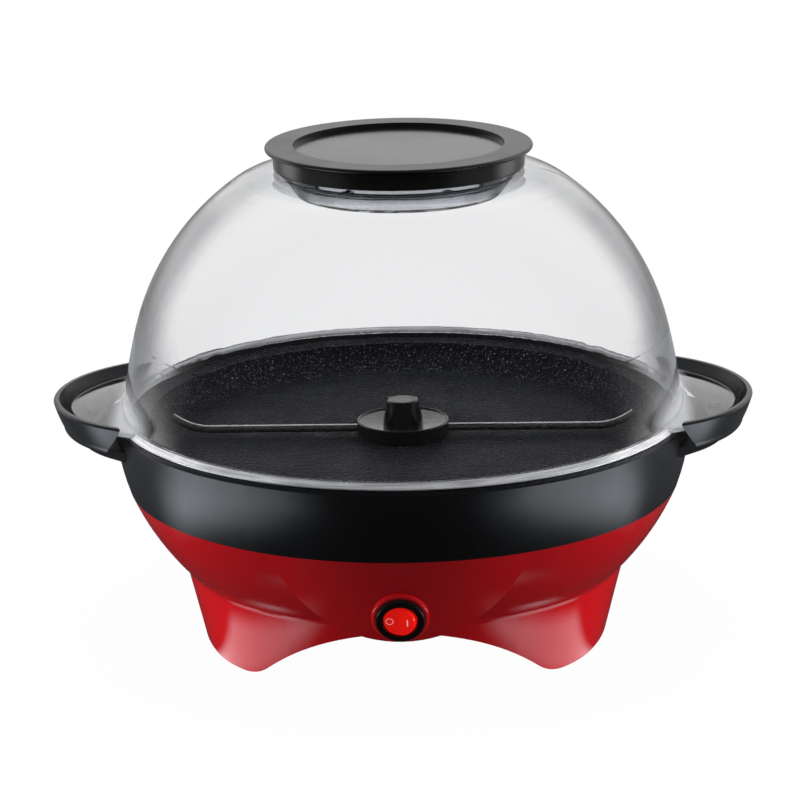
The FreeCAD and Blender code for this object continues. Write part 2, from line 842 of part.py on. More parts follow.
def element_height():
    return f"({PAN_UNDER} - element_tube - press_gap)"


def element_end(index):
    """The x and y of an end of the heating tube, which is open at the back."""
    half_gap = "(180 - element_sweep / 2)"
    return polar("element_radius", f"90 {'-+'[index]} {half_gap}")


def heating_element():
    ring = doc.addObject("Part::Torus", "element_ring")
    ring.setExpression("Radius1", bound("element_radius"))
    ring.setExpression("Radius2", bound("element_tube"))
    ring.setExpression("Angle3", bound("element_sweep"))
    place(ring, ("0", "0", element_height()), ("0; 0; 1", "270 - element_sweep / 2"))
    pieces = [ring]
    for index in range(2):
        x, y = element_end(index)
        elbow = doc.addObject("Part::Sphere", f"element_elbow_{index}")
        elbow.setExpression("Radius", bound("element_tube"))
        pieces.append(place(elbow, (x, y, element_height())))
        leg_foot = f"{element_height()} - element_leg"
        pieces.append(cylinder(f"element_leg_{index}", "element_tube", "element_leg", (x, y, leg_foot)))
    return fuse("element_tube_bent", *pieces)


def element_clips():
    """Three sheet straps that hold the heating tube up against the pan."""
    clips = []
    depth = "(2 * element_tube + press_gap + clip_sheet)"
    for index, angle in enumerate(("30", "150", "270")):
        x, y = polar("element_radius", angle)
        foot = f"{PAN_UNDER} - {depth}"
        body = new_body(f"clip_{index}")
        inner = "(element_tube + seat_gap)"
        outer = f"({inner} + clip_sheet)"
        lug = f"({outer} + clip_width)"
        sketch = outline(body, f"clip_profile_{index}", [
            (f"-{outer}", "0"),
            (outer, "0"),
            (outer, f"{depth} - clip_sheet"),
            (lug, f"{depth} - clip_sheet"),
            (lug, depth),
            (inner, depth),
            (inner, "clip_sheet"),
            (f"-{inner}", "clip_sheet"),
            (f"-{inner}", depth),
            (f"-{lug}", depth),
            (f"-{lug}", f"{depth} - clip_sheet"),
            (f"-{outer}", f"{depth} - clip_sheet"),
        ])
        pad(body, f"clip_strap_{index}", sketch, "clip_width", both_ways=True)
        clips.append(place(body, (x, y, foot), ("0; 0; 1", angle)))
    return group("clip_set", clips)


def thermostat():
    x, y = polar("thermostat_place", "210")
    low = f"{PAN_UNDER} - thermostat_height"
    face = cylinder(
        "thermostat_face", "thermostat_radius", "thermostat_cap", (x, y, f"{PAN_UNDER} - thermostat_cap")
    )
    body = cylinder("thermostat_body", "thermostat_body_radius", "thermostat_height", (x, y, low))
    tabs = [
        block(f"thermostat_tab_{index}", "terminal_sheet", "terminal_width", "2 * thermostat_tab",
              (f"{x} + {side} * thermostat_tab_half", y, f"{low} - thermostat_tab"))
        for index, side in enumerate((-1, 1))
    ]
    return fuse("thermostat_whole", face, body, *tabs)


def thermal_fuse():
    x, y = polar("fuse_place", "330")
    z = f"{PAN_UNDER} - fuse_radius - press_gap"
    start = f"{x} - fuse_length / 2"
    body = cylinder("fuse_body", "fuse_radius", "fuse_length", (start, y, z), ALONG_X)
    leads = cylinder(
        "fuse_leads", "fuse_lead", "3 * fuse_length", (f"{x} - 3 * fuse_length / 2", y, z), ALONG_X
    )
    return fuse("fuse_whole", body, leads)


def heat_shield():
    rim = f"({LEDGE_UNDER} - shield_sheet)"
    floor_edge = f"({SHIELD_EDGE} - shield_corner)"
    inner_wall = f"({SHIELD_EDGE} - shield_sheet)"
    dish = revolve("shield_dish", [
        ("shield_hole", SHIELD_UNDER),
        (floor_edge, SHIELD_UNDER, ("left", "shield_corner")),
        (SHIELD_EDGE, f"{SHIELD_UNDER} + shield_corner"),
        (SHIELD_EDGE, rim),
        (f"{SHIELD_EDGE} + shield_rim", rim),
        (f"{SHIELD_EDGE} + shield_rim", LEDGE_UNDER),
        (inner_wall, LEDGE_UNDER),
        (inner_wall, f"{SHIELD_UNDER} + shield_corner", ("right", "shield_corner - shield_sheet")),
        (floor_edge, SHIELD_FLOOR),
        ("shield_hole", SHIELD_FLOOR),
    ])
    holes = []
    for index in range(2):
        x, y = element_end(index)
        low = f"{SHIELD_UNDER} - shield_drop"
        holes.append(cylinder(
            f"shield_leg_hole_{index}", "element_tube + wall", "2 * shield_drop", (x, y, low)
        ))
    for index, at in enumerate(motor_screw_places() + shield_screw_places()):
        holes.append(cylinder(f"shield_screw_hole_{index}", "screw_radius + press_gap", "2 * wall", at))
    return cut("shield_pierced", dish, *holes)


def shield_screw_places():
    radius = f"({SHIELD_EDGE} + shield_rim / 2)"
    rim = f"({LEDGE_UNDER} - shield_sheet)"
    return [(*polar(radius, angle), rim) for angle in ("60", "120", "240", "300")]


def shield_screws():
    return group("shield_screw_set", [
        screw(f"shield_screw_{index}", "shield_screw_length", at)
        for index, at in enumerate(shield_screw_places())
    ])


# Gear motor and drive

def motor_screw_places():
    return [(f"{side} * motor_ear", "0", f"({SHIELD_UNDER} - motor_plate)") for side in (1, -1)]


def gear_motor():
    low = f"({SHIELD_UNDER} - motor_height)"
    plate = f"({SHIELD_UNDER} - motor_plate)"
    can = revolve("motor_can", [
        ("0", low),
        ("motor_radius - wall", low),
        ("motor_radius", f"{low} + wall"),
        ("motor_radius", SHIELD_UNDER),
        ("motor_boss_radius", SHIELD_UNDER),
        ("motor_boss_radius", f"{SHIELD_UNDER} + motor_boss_height"),
        ("output_radius + running_gap", f"{SHIELD_UNDER} + motor_boss_height"),
        ("output_radius + running_gap", f"{SHIELD_UNDER} - output_length"),
        ("0", f"{SHIELD_UNDER} - output_length"),
    ])
    strap = block("motor_strap", "2 * motor_ear", "2 * motor_ear_radius", "motor_plate", ("0", "0", plate))
    ears = [
        cylinder(f"motor_ear_{index}", "motor_ear_radius", "motor_plate", at)
        for index, at in enumerate(motor_screw_places())
    ]
    holes = [
        cylinder(f"motor_hole_{index}", "screw_radius + press_gap", "2 * motor_plate", at)
        for index, at in enumerate(motor_screw_places())
    ]
    well = cylinder("motor_strap_well", "motor_radius - wall", "motor_plate", ("0", "0", plate))
    flange = cut("motor_flange", fuse("motor_flange_solid", strap, *ears), well, *holes)
    return fuse("motor_whole", can, flange)


def motor_screws():
    return group("motor_screw_set", [
        screw(f"motor_screw_{index}", "motor_screw_length", at)
        for index, at in enumerate(motor_screw_places())
    ])


def output_shaft():
    round_part = cylinder(
        "output_round", "output_radius", "output_length + motor_boss_height - seat_gap",
        ("0", "0", f"{SHIELD_UNDER} - output_length + seat_gap"),
    )
    driver = flatted("output_driver", "output_radius", "output_flat", SHIELD_UNDER, OUTPUT_TOP)
    return fuse("output_whole", round_part, driver)


def drive_coupling():
    body = cylinder("coupling_body", "coupling_radius", "coupling_length", ("0", "0", COUPLING_LOW))
    lower = flatted(
        "coupling_lower", "output_radius + press_gap", "output_flat + press_gap",
        SHIELD_UNDER, f"({OUTPUT_TOP} + press_gap)",
    )
    upper = flatted(
        "coupling_upper", "shaft_radius + press_gap", "shaft_flat + press_gap",
        f"({SHAFT_LOW} - press_gap)", KNOB_TOP,
    )
    return cut("coupling_bored", body, lower, upper)


def drive_shaft():
    lower = flatted("shaft_lower", "shaft_radius", "shaft_flat", SHAFT_LOW, f"({COUPLING_TOP} + seat_gap)")
    middle = cylinder(
        "shaft_middle", "shaft_radius", f"{HUB_CEILING} - seat_gap - {COUPLING_TOP}",
        ("0", "0", COUPLING_TOP)
    )
    upper = flatted("shaft_upper", "shaft_radius", "shaft_flat", f"({HUB_CEILING} - hub_gap)", SHAFT_TOP)
    return fuse("shaft_whole", lower, middle, upper)


def shaft_bush():
    bore = "(shaft_radius + running_gap)"
    flange_low = f"({PAN_UNDER} - bush_flange)"
    return revolve("bush", [
        (bore, flange_low),
        ("bush_flange_radius", flange_low),
        ("bush_flange_radius", PAN_UNDER),
        ("collar_bore - press_gap", PAN_UNDER),
        ("collar_bore - press_gap", f"{PAN_FLOOR} + collar_height"),
        (bore, f"{PAN_FLOOR} + collar_height"),
    ])


# Stirrer

def stirrer_hub():
    rim_top = f"({HUB_FOOT} + hub_height)"
    recess = "(collar_radius + hub_gap)"
    dish = revolve("hub_dish", [
        ("0", HUB_CEILING),
        (recess, HUB_CEILING),
        (recess, HUB_FOOT),
        ("hub_radius", HUB_FOOT),
        ("hub_radius", f"{rim_top} - hub_rim / 2", ("left", "hub_rim / 2")),
        ("hub_radius - hub_rim / 2", rim_top, ("left", "hub_rim / 2")),
        ("hub_radius - hub_rim", f"{rim_top} - hub_rim / 2"),
        ("hub_dish_radius", HUB_DISH),
        ("0", HUB_DISH),
    ])
    socket = flatted(
        "hub_socket", "shaft_radius + running_gap", "shaft_flat + running_gap", HUB_FOOT, KNOB_TOP
    )
    width = "2 * (wire_radius + press_gap)"
    groove = block("hub_groove", "2 * wire_tip", width, "wire_radius", ("0", "0", HUB_FOOT))
    crown = cylinder(
        "hub_groove_crown", "wire_radius + press_gap", "2 * wire_tip",
        ("-wire_tip", "0", f"{HUB_FOOT} + wire_radius"), ALONG_X,
    )
    return cut("hub_whole", dish, socket, groove, crown)


def rising_bend(run, rise):
    """The radius of an arc that leaves level and has this run and rise."""
    return f"((({run}) ^ 2 + ({rise}) ^ 2) / (2 * ({rise})))"


def stirring_arms():
    """Two bent wires clipped in the groove under the hub, with tips that follow the pan's side."""
    body = new_body("arms")
    level = f"({HUB_FOOT} + wire_radius)"
    path = outline(body, "arm_path", [
        ("wire_start", level),
        ("wire_run", level, ("left", rising_bend("(wire_tip - wire_run)", "wire_tip_rise"))),
        ("wire_tip", f"{level} + wire_tip_rise"),
    ], closed=False)
    section = circle_sketch(body, "arm_section", "wire_radius", "0", level, "YZ_Plane", "wire_start")
    doc.recompute()
    pipe = body.newObject("PartDesign::AdditivePipe", "arm")
    pipe.Profile = section
    pipe.Spine = (path, ["Edge1", "Edge2"])
    body.Tip = pipe
    polar_pattern(body, pipe, "2")
    return body


def hub_knob():
    body = revolve("knob", [
        ("0", f"{SHAFT_TOP} + hub_gap"),
        ("shaft_radius + seat_gap", f"{SHAFT_TOP} + hub_gap"),
        ("shaft_radius + seat_gap", KNOB_FOOT),
        ("knob_radius", KNOB_FOOT),
        ("knob_top_radius", f"{KNOB_TOP} - knob_round", ("left", "knob_round")),
        ("knob_top_radius - knob_round", KNOB_TOP),
        ("0", KNOB_TOP),
    ])
    centre = "(knob_radius + knob_flute - knob_flute_depth)"
    flute = circle_sketch(body, "flute", "knob_flute", centre, "0", "XY_Plane", KNOB_TOP)
    polar_pattern(body, pocket_through(body, "flute_cut", flute), "knob_flutes")
    return body


# Rocker switch

def pivot(name, gap, reach):
    start = ("0", f"-{reach}", "-pivot_depth")
    return cylinder(name, f"pivot_radius + {gap}", f"2 * {reach}", start, ALONG_Y)


def switch_housing():
    shell = revolve("switch_shell", [
        ("0", "-switch_depth"),
        ("switch_body_radius", "-switch_depth"),
        ("switch_body_radius", "0"),
        ("bezel_radius", "0"),
        ("bezel_radius", "bezel_height - bezel_round", ("left", "bezel_round")),
        ("bezel_radius - bezel_round", "bezel_height"),
        ("bezel_opening", "bezel_height"),
        ("bezel_opening", "-rocker_well"),
        ("0", "-rocker_well"),
    ])
    slots = [
        block(f"switch_slot_{index}", "terminal_sheet + press_gap", "terminal_width + press_gap",
              "2 * terminal_length", (f"{side} * terminal_pitch / 2", "0", TERMINAL_LOW))
        for index, side in enumerate((-1, 1))
    ]
    bore = pivot("switch_pivot_bore", "running_gap", "(pivot_reach + running_gap)")
    return place(cut("switch_bored", shell, bore, *slots), SWITCH_SEAT, SWITCH_TURN)


def switch_terminals():
    return group("terminal_set", [
        place(cut(
            f"terminal_{index}",
            block(f"terminal_blade_{index}", "terminal_sheet", "terminal_width",
                  "2 * terminal_length - press_gap", (f"{side} * terminal_pitch / 2", "0", TERMINAL_LOW)),
            cylinder(f"terminal_hole_{index}", "terminal_sheet", "terminal_pitch",
                     (f"({side} - 1) * terminal_pitch / 2", "0", f"{TERMINAL_LOW} + terminal_hole_rise"),
                     ALONG_X),
        ), SWITCH_SEAT, SWITCH_TURN)
        for index, side in enumerate((-1, 1))
    ])


def switch_rocker():
    """The rocker, drawn level and then tipped to its off side about its own pivot."""
    body = new_body("rocker_form")
    edge = "rocker_radius + wall"
    sketch = outline(body, "rocker_profile", [
        (f"-({edge})", "-rocker_well / 2"),
        (edge, "-rocker_well / 2"),
        (edge, "rocker_rise"),
        ("0", "rocker_rise - rocker_dip"),
        (f"-({edge})", "rocker_rise"),
    ])
    pad(body, "rocker_bar", sketch, "4 * rocker_radius", both_ways=True)
    ball = doc.addObject("Part::Sphere", "rocker_ball")
    ball.setExpression("Radius", bound("rocker_radius"))
    place(ball, ("0", "0", "-pivot_depth"))
    top = common("rocker_top", body, ball)
    rocker = fuse("rocker_level", top, pivot("rocker_pivot", "0", "pivot_reach"))
    x, y, z = SWITCH_SEAT
    axis, angle = SWITCH_TURN
    seat = f"placement(vector({x}; {y}; {z}); rotation(vector({axis}); {angle}))"
    tip = "placement(vector(0; 0; 0); rotation(vector(0; 1; 0); -rocker_tilt); vector(0; 0; -pivot_depth))"
    rocker.setExpression("Placement", bound(f"{seat} * {tip}"))
    return rocker


# Tray handles and the brackets that carry them

def handle_frame(side):
    """The place and turn of a handle's own frame, whose x points at the middle of the object."""
    return (f"{SIDES[side]} * {HANDLE_CENTRE}", "0", "0"), ("0; 0; 1", f"90 + 90 * {SIDES[side]}")


def bracket_screw_places():
    """Where each bracket screw's head is seated inside the ring, and which way it points."""
    seat = f"sqrt({RING_INNER} ^ 2 - (bracket_screw_half + screw_head_radius) ^ 2)"
    height = f"({HANDLE_FOOT} - bracket_screw_drop)"
    return [
        ((f"{SIDES[side]} * {seat}", f"{along} * bracket_screw_half", height), turn)
        for side, turn in (("right", ALONG_X), ("left", AGAINST_X))
        for along in (-1, 1)
    ]


def screw_hole(name, at, turn):
    return cylinder(name, "screw_radius + press_gap", "bracket_screw_length + seat_gap", at, turn)


def handle_screw_places(side):
    x = f"{SIDES[side]} * ({HANDLE_CENTRE} + handle_screw_place)"
    return [(x, f"{along} * handle_screw_half", f"({HANDLE_FOOT} - handle_floor)") for along in (-1, 1)]


def handle(side):
    lower = "(handle_radius - handle_taper)"
    tray = place(revolve(f"{side}_tray", [
        ("0", HANDLE_FOOT),
        (f"{lower} - handle_round", HANDLE_FOOT, ("left", "handle_round")),
        (lower, f"{HANDLE_FOOT} + handle_round", ("left", "handle_curve")),
        ("handle_radius", f"{HANDLE_TOP} - handle_lip", ("left", "handle_lip")),
        ("handle_radius - handle_lip", HANDLE_TOP),
        ("handle_radius - handle_wall", HANDLE_TOP),
        (f"{lower} - handle_wall", f"{HANDLE_FOOT} + handle_floor"),
        ("0", f"{HANDLE_FOOT} + handle_floor"),
    ]), *handle_frame(side))
    bosses = []
    holes = []
    for index, (x, y, seat) in enumerate(handle_screw_places(side)):
        bosses.append(cylinder(
            f"{side}_boss_{index}", "handle_boss_radius", "handle_boss_height", (x, y, HANDLE_FOOT)
        ))
        holes.append(cylinder(
            f"{side}_pilot_{index}", "screw_radius + press_gap", "handle_screw_length + press_gap",
            (x, y, seat),
        ))
    keep_out = cone(
        f"{side}_keep_out", f"{HANDLE_KEEP_OUT} + handle_slant", HANDLE_KEEP_OUT, "handle_height",
        ("0", "0", HANDLE_FOOT),
    )
    return cut(f"{side}_handle_cut", fuse(f"{side}_handle_solid", tray, *bosses), keep_out, *holes)


def handle_bracket(side):
    bottom = f"({HANDLE_FOOT} - bracket_depth)"
    wedge = place(revolve(f"{side}_wedge", [
        ("0", bottom),
        ("bracket_neck", bottom),
        ("bracket_radius", f"{HANDLE_FOOT} - bracket_edge"),
        ("bracket_radius", HANDLE_FOOT),
        ("0", HANDLE_FOOT),
    ]), *handle_frame(side))
    envelope = revolve(f"{side}_ring_envelope", [
        ("0", "seam_height"),
        ("seam_radius + press_gap", "seam_height", ("left", "ring_curve")),
        (f"{RIM_RADIUS} + press_gap", f"{RIM_HEIGHT} - lip_round"),
        ("0", f"{RIM_HEIGHT} - lip_round"),
    ])
    tools = [envelope]
    for index, (x, y, seat) in enumerate(handle_screw_places(side)):
        low = f"({seat} - bracket_depth)"
        tools.append(cylinder(
            f"{side}_head_well_{index}", "screw_head_radius + seat_gap", "bracket_depth", (x, y, low)
        ))
        tools.append(cylinder(
            f"{side}_clearance_{index}", "screw_radius + press_gap", "bracket_depth", (x, y, seat)
        ))
    for index, (at, turn) in enumerate(bracket_screw_places()):
        tools.append(screw_hole(f"{side}_bracket_pilot_{index}", at, turn))
    return cut(f"{side}_bracket_cut", wedge, *tools)


def handle_screws():
    places = handle_screw_places("right") + handle_screw_places("left")
    return group("handle_screw_set", [
        screw(f"handle_screw_{index}", "handle_screw_length", at)
        for index, at in enumerate(places)
    ])


def bracket_screws():
    return group("bracket_screw_set", [
        screw(f"bracket_screw_{index}", "bracket_screw_length", at, turn)
        for index, (at, turn) in enumerate(bracket_screw_places())
    ])


# Clear dome and its cap

def dome_ear(side):
    """The crowned wing of the dome that lies in a tray handle."""
    start = "(handle_inset / 2)"
    edge_round = "(ear_wall / 2)"
    plate = place(revolve(f"{side}_ear_plate", [
        (start, f"{EAR_LOW} + ear_crown", ("right", "ear_curve")),
        (EAR_RADIUS, EAR_LOW),
        (EAR_RADIUS, f"{EAR_LOW} + {edge_round}", ("left", edge_round)),
        (f"{EAR_RADIUS} - {edge_round}", f"{EAR_LOW} + ear_wall", ("left", "ear_curve + ear_wall")),
        (start, f"{EAR_LOW} + ear_crown + ear_wall"),
    ]), *handle_frame(side))
    inside = cylinder(
        f"{side}_ear_inside", f"{DOME_RADIUS} - dome_wall / 2", "8 * ear_wall", ("0", "0", DOME_FOOT)
    )
    return cut(f"{side}_ear", plate, inside)


def dome():
    """The clear dome, with a low flange around its foot above the ring and an open neck."""
    joint_radius = f"({DOME_RADIUS} - dome_lean)"
    joint_height = f"({DOME_FOOT} + dome_joint_rise)"
    throat = f"({NECK_FOOT} - dome_wall)"
    shoulder_inner = "(shoulder_radius - dome_wall * sin(shoulder_slope))"
    shoulder_under = f"({SHOULDER} - dome_wall * cos(shoulder_slope))"
    neck_inner = "(neck_radius - dome_wall)"
    wall_middle = f"({DOME_RADIUS} - dome_wall / 2)"
    edge = f"({DOME_RADIUS} + flange_reach)"
    flange_top = f"({EAR_LOW} + flange_height)"
    shell = revolve("dome_shell", [
        (DOME_RADIUS, DOME_FOOT, ("left", "dome_lower_curve")),
        (joint_radius, joint_height, ("left", "dome_upper_curve")),
        ("shoulder_radius", SHOULDER, ("left", "shoulder_curve")),
        ("neck_radius", NECK_FOOT),
        ("neck_radius", NECK_TOP),
        (neck_inner, NECK_TOP),
        (neck_inner, throat, ("right", "shoulder_curve - dome_wall")),
        (shoulder_inner, shoulder_under, ("right", "dome_upper_curve - dome_wall")),
        (f"{joint_radius} - dome_wall", joint_height, ("right", "dome_lower_curve - dome_wall")),
        (f"{DOME_RADIUS} - dome_wall", DOME_FOOT),
    ])
    flange = revolve("dome_flange", [
        (wall_middle, EAR_LOW),
        (DOME_RADIUS, EAR_LOW, ("left", "flange_reach")),
        (edge, f"{EAR_LOW} + flange_reach"),
        (edge, f"{flange_top} - flange_reach", ("left", "flange_reach")),
        (DOME_RADIUS, flange_top),
        (wall_middle, flange_top),
    ])
    return fuse("dome_whole", shell, flange, *[dome_ear(side) for side in SIDES])


def butter_cup():
    """The clear cup that hangs in the dome's neck, with drip holes in its floor."""
    outer = "(neck_radius - dome_wall - cup_play)"
    body = revolve("cup_form", [
        ("0", CUP_UNDER),
        ("cup_foot_radius", CUP_UNDER),
        (outer, f"{NECK_FOOT} - dome_wall"),
        (outer, CUP_SEAT),
        ("neck_radius", CUP_SEAT),
        ("neck_radius", CUP_TOP),
        (f"{outer} - cup_wall", CUP_TOP),
        ("cup_foot_radius - cup_wall", CUP_FLOOR),
        ("0", CUP_FLOOR),
    ])
    drip_rings = (("outer", "drip_place", "drip_count"), ("inner", "drip_inner_place", "drip_inner_count"))
    for ring_name, radius, count in drip_rings:
        hole = circle_sketch(body, f"drip_{ring_name}", "drip_radius", radius, "0", "XY_Plane", CUP_FLOOR)
        drip = body.newObject("PartDesign::Pocket", f"drip_{ring_name}_cut")
        drip.Profile = hole
        drip.setExpression("Length", bound("2 * cup_wall"))
        polar_pattern(body, drip, count)
    return body


def dome_cap():
    skirt_outer = f"({CAP_INNER} + cap_wall)"
    brim = f"({CAP_TOP} - 2 * cap_round)"
    return revolve("cap", [
        ("0", CAP_UNDER),
        (CAP_INNER, CAP_UNDER),
        (CAP_INNER, f"{CAP_UNDER} - cap_skirt"),
        (skirt_outer, f"{CAP_UNDER} - cap_skirt"),
        (skirt_outer, brim),
        ("cap_radius - cap_round", brim, ("left", "cap_round")),
        ("cap_radius", f"{brim} + cap_round", ("left", "cap_round")),
        ("cap_radius - cap_round", CAP_TOP),
        ("cap_recess_radius", CAP_TOP),
        ("cap_recess_radius - cap_round / 3", CAP_FLOOR),
        ("0", CAP_FLOOR),
    ])


def build():
    node(base_housing(), "base_housing")
    node(rubber_feet(), "rubber_feet")
    node(bottom_cover(), "bottom_cover")
    node(cover_screws(), "cover_screws")
    node(cord_gland(), "cord_gland")
    node(terminal_block(), "terminal_block")
    node(upper_ring(), "upper_ring")
    node(pan(), "pan")
    node(heating_element(), "heating_element")
    node(element_clips(), "element_clips")
    node(thermostat(), "thermostat")
    node(thermal_fuse(), "thermal_fuse")
    node(heat_shield(), "heat_shield")
    node(shield_screws(), "shield_screws")
    node(gear_motor(), "gear_motor")
    node(motor_screws(), "motor_screws")
    node(output_shaft(), "motor_output_shaft")
    node(drive_coupling(), "drive_coupling")
    node(drive_shaft(), "drive_shaft")
    node(shaft_bush(), "shaft_bush")
    node(stirrer_hub(), "stirrer_hub")
    node(stirring_arms(), "stirring_arms")
    node(hub_knob(), "hub_knob")
    node(switch_housing(), "switch_housing")
    node(switch_terminals(), "switch_terminals")
    node(switch_rocker(), "switch_rocker")
    for side in SIDES:
        node(handle(side), f"{side}_handle")
        node(handle_bracket(side), f"{side}_handle_bracket")
    node(handle_screws(), "handle_screws")
    node(bracket_screws(), "bracket_screws")
    node(dome(), "dome")
    node(butter_cup(), "butter_cup")
    node(dome_cap(), "dome_cap")
    doc.recompute()


def check():
    """Stop before anything is written if an object failed or a sub-part isn't a valid solid."""
    failed = [thing.Name for thing in doc.Objects if {"Invalid", "Error"} & set(thing.State)]
    for thing in nodes:
        if thing.Shape.isNull() or not thing.Shape.isValid() or not thing.Shape.Solids:
            failed.append(thing.Label)
    if failed:
        raise RuntimeError(f"these objects failed: {failed}")


def write():
    os.makedirs("parts", exist_ok=True)
    for thing in nodes:
        thing.Shape.exportStep(f"parts/{thing.Label}.step")


build()
check()
write()
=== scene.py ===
import json
import math

import bpy
from mathutils import Matrix, Vector
from mathutils.bvhtree import BVHTree


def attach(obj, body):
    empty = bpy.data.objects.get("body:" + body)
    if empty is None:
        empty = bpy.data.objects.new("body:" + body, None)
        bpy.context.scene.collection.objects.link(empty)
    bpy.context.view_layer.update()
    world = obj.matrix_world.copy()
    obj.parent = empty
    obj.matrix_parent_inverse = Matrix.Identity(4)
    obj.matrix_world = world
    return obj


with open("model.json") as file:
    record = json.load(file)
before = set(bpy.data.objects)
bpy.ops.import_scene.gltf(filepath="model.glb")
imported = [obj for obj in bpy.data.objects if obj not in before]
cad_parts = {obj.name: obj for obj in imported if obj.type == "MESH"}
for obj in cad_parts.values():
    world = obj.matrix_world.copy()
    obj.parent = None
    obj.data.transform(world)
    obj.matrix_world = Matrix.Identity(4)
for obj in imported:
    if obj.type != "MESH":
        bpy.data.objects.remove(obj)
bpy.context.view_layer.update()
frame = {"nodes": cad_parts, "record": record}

nodes = frame["nodes"]
scene = bpy.context.scene
scene.view_settings.view_transform = "Standard"


# Helpers for node trees and meshes

# Sockets of the Mix node for colours, which share their names with those for numbers
MIX_FIRST, MIX_SECOND, MIX_RESULT = 6, 7, 2


class Tree:
    """A material's or world's node tree, with short calls to add and link nodes."""

    def __init__(self, owner):
        owner.use_nodes = True
        self.nodes = owner.node_tree.nodes
        self.links = owner.node_tree.links
        self.nodes.clear()

    def add(self, kind, inputs=None, **settings):
        node = self.nodes.new(kind)
        for key, setting in settings.items():
            setattr(node, key, setting)
        for key, given in (inputs or {}).items():
            if isinstance(given, bpy.types.NodeSocket):
                self.links.new(given, node.inputs[key])
            else:
                node.inputs[key].default_value = given
        return node

    def coordinates(self):
        return self.add("ShaderNodeTexCoord").outputs["Object"]

    def stretched(self, scale):
        """Coordinates with a scale of their own along each axis, for long streaks."""
        return self.add("ShaderNodeMapping", {"Vector": self.coordinates(), "Scale": scale}).outputs["Vector"]

    def noise(self, scale, detail=3.0, roughness=0.5, vector=None):
        inputs = {"Vector": vector or self.coordinates(), "Scale": scale, "Detail": detail, "Roughness": roughness}
        return self.add("ShaderNodeTexNoise", inputs).outputs["Fac"]

    def spread(self, value, low, high, start=0.3, end=0.7):
        """A value of about start to end, spread over low to high."""
        inputs = {"Value": value, "From Min": start, "From Max": end, "To Min": low, "To Max": high}
        return self.add("ShaderNodeMapRange", inputs).outputs["Result"]

    def ramp(self, value, span, low, high):
        """A smooth step from low at the span's start to high at its end."""
        start, end = span
        inputs = {"Value": value, "From Min": start, "From Max": end, "To Min": low, "To Max": high}
        return self.add("ShaderNodeMapRange", inputs, interpolation_type="SMOOTHSTEP").outputs["Result"]

    def blend(self, share, first, second):
        mix = self.add("ShaderNodeMix", {"Factor": share}, data_type="RGBA")
        for index, given in ((MIX_FIRST, first), (MIX_SECOND, second)):
            if isinstance(given, bpy.types.NodeSocket):
                self.links.new(given, mix.inputs[index])
            else:
                mix.inputs[index].default_value = (*given, 1.0)
        return mix.outputs[MIX_RESULT]

    def math(self, operation, first, second=0.0):
        return self.add("ShaderNodeMath", {0: first, 1: second}, operation=operation).outputs[0]

    def product(self, first, *others):
        for other in others:
            first = self.math("MULTIPLY", first, other)
        return first

    def total(self, first, *others):
        for other in others:
            first = self.math("ADD", first, other)
        return first

    def bump(self, height, strength, distance, normal=None):
        inputs = {"Height": height, "Strength": strength, "Distance": distance}
        if normal is not None:
            inputs["Normal"] = normal
        return self.add("ShaderNodeBump", inputs).outputs["Normal"]

    def principled(self, **inputs):
        named = {key.replace("_", " "): given for key, given in inputs.items()}
        return self.add("ShaderNodeBsdfPrincipled", named).outputs[0]

    def mix_shaders(self, share, first, second):
        return self.add("ShaderNodeMixShader", {0: share, 1: first, 2: second}).outputs[0]

    def finish(self, shader, kind="ShaderNodeOutputMaterial"):
        self.links.new(shader, self.add(kind).inputs["Surface"])


def seen_rays(tree):
    """1 for rays that reach here from the camera with no reflection on the way, and 0 for the others."""
    path = tree.add("ShaderNodeLightPath").outputs
    direct = tree.math("MAXIMUM", path["Is Camera Ray"], path["Is Transmission Ray"])
    return tree.product(direct, tree.math("LESS_THAN", path["Glossy Depth"], 0.5))


def mirrored_rays(tree):
    """1 for rays that a glossy surface has reflected, and 0 for the others."""
    path = tree.add("ShaderNodeLightPath").outputs
    reflected = tree.math("MAXIMUM", path["Is Glossy Ray"], path["Is Transmission Ray"])
    return tree.product(reflected, tree.math("GREATER_THAN", path["Glossy Depth"], 0.5))


def lamp_rays(tree):
    """1 for the rays that carry lamplight to a surface, and 0 for the others."""
    path = tree.add("ShaderNodeLightPath").outputs
    return tree.math("MAXIMUM", path["Is Shadow Ray"], path["Is Diffuse Ray"])


def new_material(name):
    material = bpy.data.materials.new(name)
    return material, Tree(material)


def new_piece(name, corners, faces, material):
    """A mesh object with one material, linked to the scene."""
    mesh = bpy.data.meshes.new(name)
    mesh.from_pydata(corners, [], faces)
    mesh.materials.append(material)
    piece = bpy.data.objects.new(name, mesh)
    scene.collection.objects.link(piece)
    return piece


# Materials

PLASTIC_IOR = 1.5
CLEAR_IOR = 1.4
MILK_HIGHLIGHT_IOR = 1.36
EDGE_IOR = 1.43
PALE_MILK_HIGHLIGHT = (0.8, 0.81, 0.83)

# The dome's neck starts at this height, and its wings' milky roots, a painted pale highlight, lie this far from the
# middle and up to this height
NECK_SPAN = (0.2325, 0.2345)
ROOT_START = (0.118, 0.134)
ROOT_END = (0.139, 0.147)
ROOT_TOP = (0.118, 0.142)
ROOT_HIGHLIGHT_SHARE = 0.4

# Clear plastic turns grey over these values of Facing, below the shoulder
EDGE_ON_FACING = (0.5, 0.7)
EDGE_ON_TOP = (0.216, 0.228)
EDGE_ON_TINT = (0.46, 0.465, 0.48)

# The cap's rim lies above its polished disc and skirt
CAP_RIM_SPAN = (0.2484, 0.249)
CAP_RIM_SATIN = 0.15


